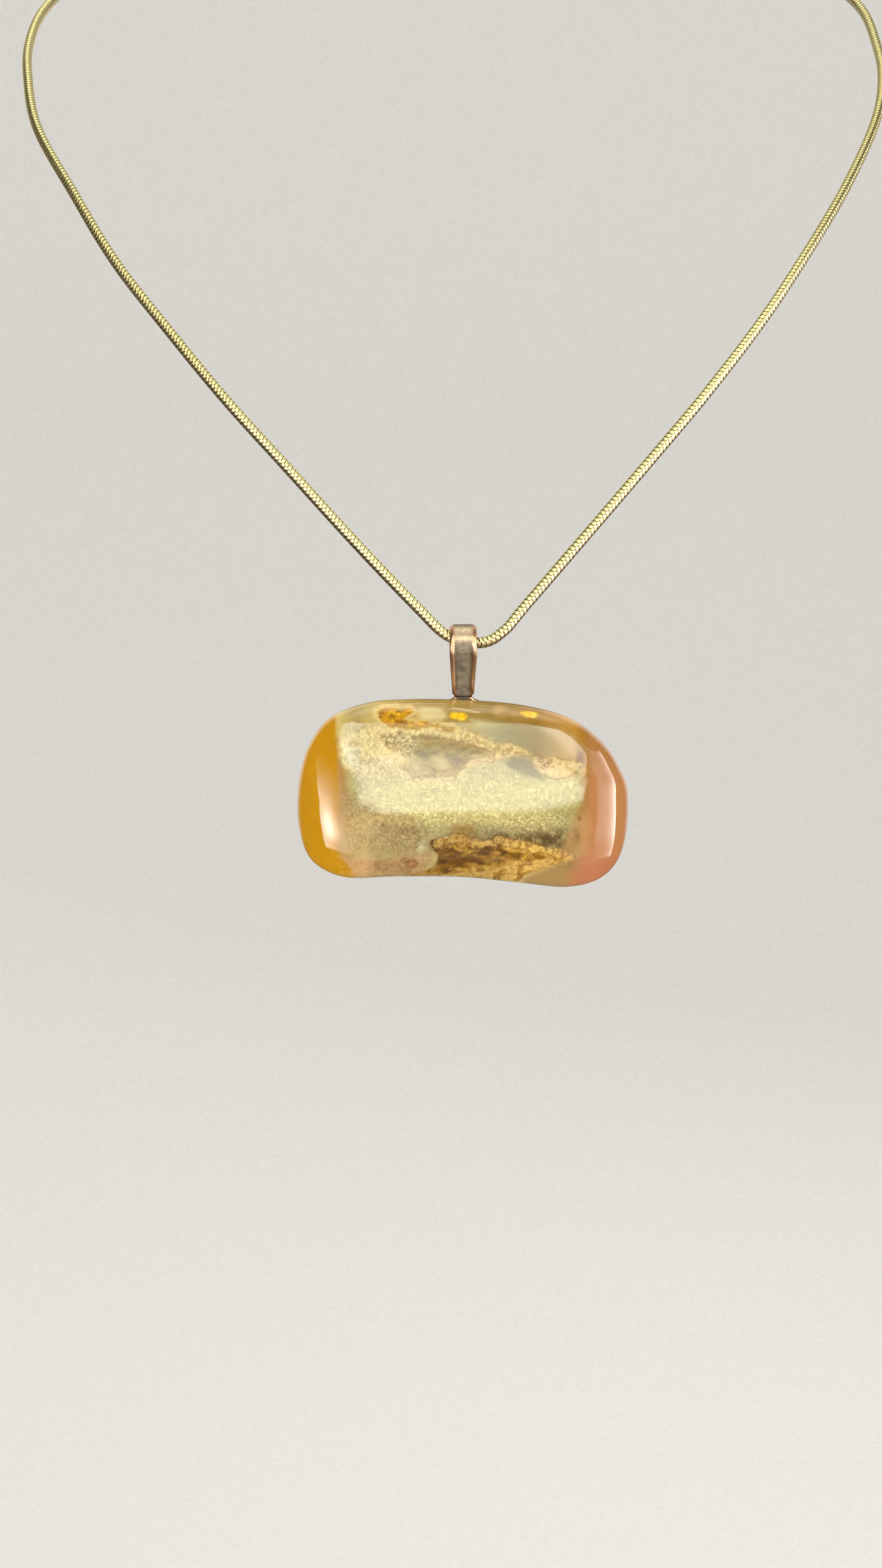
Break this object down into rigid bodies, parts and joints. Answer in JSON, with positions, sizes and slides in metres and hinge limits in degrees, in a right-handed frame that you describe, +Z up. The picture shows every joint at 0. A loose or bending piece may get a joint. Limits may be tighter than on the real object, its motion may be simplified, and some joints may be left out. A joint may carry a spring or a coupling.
{
  "type": "pendant necklace",
  "caption": "Domed fused-glass pendant on a glue-on loop bail, hung on a round snake chain that closes at the nape with a lobster clasp.",
  "frame": {"origin": "middle of the neck opening that the chain goes round", "axes": "+Z up, -Y is the front of the wearer, where the pendant hangs, +X to the right in the front view"},
  "size_m": [0.1324, 0.0993, 0.1619],
  "materials": {
    "amber_glass": "glossy amber fused glass",
    "streaky_glass": "glossy streaky pale green fused glass",
    "rose_glass": "glossy rose fused glass",
    "clear_glass": "clear glossy glass",
    "foil": "crinkled gold-brown foil",
    "antique_copper": "antiqued copper, worn light at the edges",
    "adhesive": "clear cured adhesive",
    "antique_brass": "antique brass, yellow on the high points and dark in the gaps",
    "spring_steel": "bright drawn wire"
  },
  "bodies": {
    "chain": {"snake_chain": "antique_brass", "end_cap_left": "antique_brass", "end_cap_right": "antique_brass"},
    "pendant": {"glass_base_amber": "amber_glass", "glass_base_centre": "streaky_glass", "glass_base_rose": "rose_glass", "glass_cap": "clear_glass", "foil_flakes": "foil", "bail": "antique_copper", "bail_adhesive": "adhesive"},
    "jump_ring": {"jump_ring": "antique_brass"},
    "clasp": {"clasp_body": "antique_brass", "clasp_pin": "spring_steel", "clasp_spring": "spring_steel"},
    "trigger": {"clasp_trigger": "antique_brass"},
    "end_ring": {"end_ring": "antique_brass"}
  },
  "joints": [
    {"name": "pendant_swing", "type": "hinge", "parent": "chain", "child": "pendant", "pos_m": [0, -0.055, -0.106], "axis": [1, 0, 0], "range_deg": [-120, 120]},
    {"name": "jump_ring_roll", "type": "hinge", "parent": "chain", "child": "jump_ring", "pos_m": [-0.00935, 0.038, 0.02], "axis": [1, 0, 0], "range_deg": [-8, 8]},
    {"name": "clasp_roll", "type": "hinge", "parent": "jump_ring", "child": "clasp", "pos_m": [-0.0048, 0.038, 0.02], "axis": [1, 0, 0], "range_deg": [-8, 8]},
    {"name": "trigger_press", "type": "hinge", "parent": "clasp", "child": "trigger", "pos_m": [-0.0002, 0.038, 0.019], "axis": [0, -1, 0], "range_deg": [0, 13], "stiffness_Nm_per_rad": 0.002, "springref_deg": -17.19, "deforming": ["clasp_spring"]},
    {"name": "end_ring_roll", "type": "hinge", "parent": "chain", "child": "end_ring", "pos_m": [0.0119, 0.038, 0.02], "axis": [1, 0, 0], "range_deg": [-8, 8]}
  ]
}
